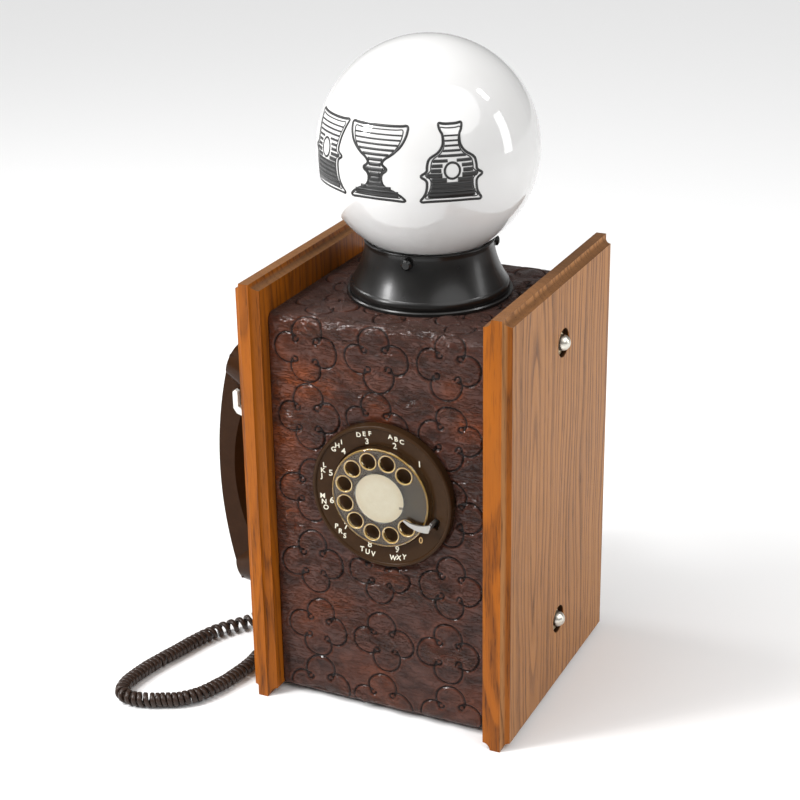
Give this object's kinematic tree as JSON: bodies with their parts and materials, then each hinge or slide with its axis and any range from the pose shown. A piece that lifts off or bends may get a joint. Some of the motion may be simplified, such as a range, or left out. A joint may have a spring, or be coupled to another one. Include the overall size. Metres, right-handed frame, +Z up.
{
  "type": "rotary telephone bar lamp",
  "caption": "Oak and leather cabinet with a rotary dial, a side-hung handset on a curly cord and an opal globe lamp on top.",
  "frame": {"origin": "bottom centre of the object's box without the curly cord, on the surface it stands on", "axes": "+Z up, the dial faces -Y, +X to the viewer's right, the handset hangs on the -X side"},
  "size_m": [0.313, 0.2661, 0.4963],
  "materials": {
    "oak": "oiled",
    "plywood": "raw",
    "leather": "glossy antique",
    "brown_plastic": "gloss",
    "clear_plastic": "gloss, clear",
    "card": "matt paper",
    "steel": "satin",
    "nickel": "polished",
    "brass": "satin",
    "black_metal": "gloss black",
    "opal_glass": "gloss opal",
    "bulb_glass": "frosted",
    "rubber": "matt",
    "hook_plastic": "gloss, milky",
    "phenolic": "satin",
    "cord_pvc": "semi gloss"
  },
  "bodies": {
    "cabinet": {"side_panel_left": "oak", "side_panel_right": "oak", "front_board": "plywood", "top_board": "plywood", "bottom_board": "plywood", "back_cover": "plywood", "back_battens": "plywood", "back_cover_screws": "brass", "leather_cover": "leather", "tie_rods": "steel", "cap_nuts": "nickel", "eared_washers": "nickel", "number_plate": "brown_plastic", "finger_stop": "nickel", "dial_frame": "steel", "dial_mount_plate": "steel", "dial_screws": "brass", "mainspring": "steel", "governor_cup": "brass", "pulse_contacts": "phenolic", "curly_cord": "cord_pvc", "cabinet_cord_bush": "rubber", "hook_bracket": "steel", "hook_pin": "steel", "hook_spring": "steel", "hook_bracket_screws": "brass", "hook_switch": "phenolic", "lamp_fitter": "black_metal", "globe": "opal_glass", "thumb_screws": "black_metal", "threaded_nipple": "brass", "nipple_nuts": "brass", "lamp_socket": "phenolic", "bulb_base": "brass", "bulb_glass": "bulb_glass", "ringer_frame": "steel", "gongs": "brass", "gong_screws": "brass", "clapper_pin": "steel", "ringer_coils": "phenolic", "network_block": "phenolic", "terminal_screws": "brass", "line_grommet": "rubber", "mains_grommet": "rubber"},
    "dial_rotor": {"finger_wheel": "clear_plastic", "number_card": "card", "card_window": "clear_plastic", "dial_shaft": "steel", "main_gear": "brass"},
    "governor": {"governor_spindle": "brass", "governor_weights": "brass"},
    "hook": {"hook_fork": "hook_plastic"},
    "handset": {"handset_handle": "brown_plastic", "ear_cap": "brown_plastic", "mouth_cap": "brown_plastic", "receiver_capsule": "steel", "transmitter_capsule": "steel", "handset_cord_bush": "rubber"},
    "clapper_arm": {"clapper": "steel"}
  },
  "joints": [
    {"name": "finger_wheel_turn", "type": "hinge", "parent": "cabinet", "child": "dial_rotor", "pos_m": [0.03525, -0.094, 0.184], "axis": [0, 1, 0], "range_deg": [0, 330], "stiffness_Nm_per_rad": 0.01, "springref_deg": -114.59},
    {"name": "governor_spin", "type": "hinge", "parent": "cabinet", "child": "governor", "pos_m": [0.04975, -0.079, 0.20911], "axis": [0, 1, 0], "range_deg": [-1590, 0]},
    {"name": "handset_lift", "type": "slide", "parent": "cabinet", "child": "handset", "axis": [0, 0, 1], "range_m": [0, 0.08]},
    {"name": "hook_rise", "type": "hinge", "parent": "cabinet", "child": "hook", "pos_m": [-0.04875, -0.009, 0.189], "axis": [0, 1, 0], "range_deg": [0, 8], "stiffness_Nm_per_rad": 0.1, "springref_deg": 28.65},
    {"name": "clapper_swing", "type": "hinge", "parent": "cabinet", "child": "clapper_arm", "pos_m": [0.03125, 0.036, 0.04], "axis": [0, 0, 1], "range_deg": [-2, 2], "stiffness_Nm_per_rad": 0.002}
  ],
  "couplings": [
    {"joint": "governor_spin", "follows": "finger_wheel_turn", "ratio": -4.8},
    {"joint": "hook_rise", "follows": "handset_lift", "rad_per_m": 1.74}
  ]
}
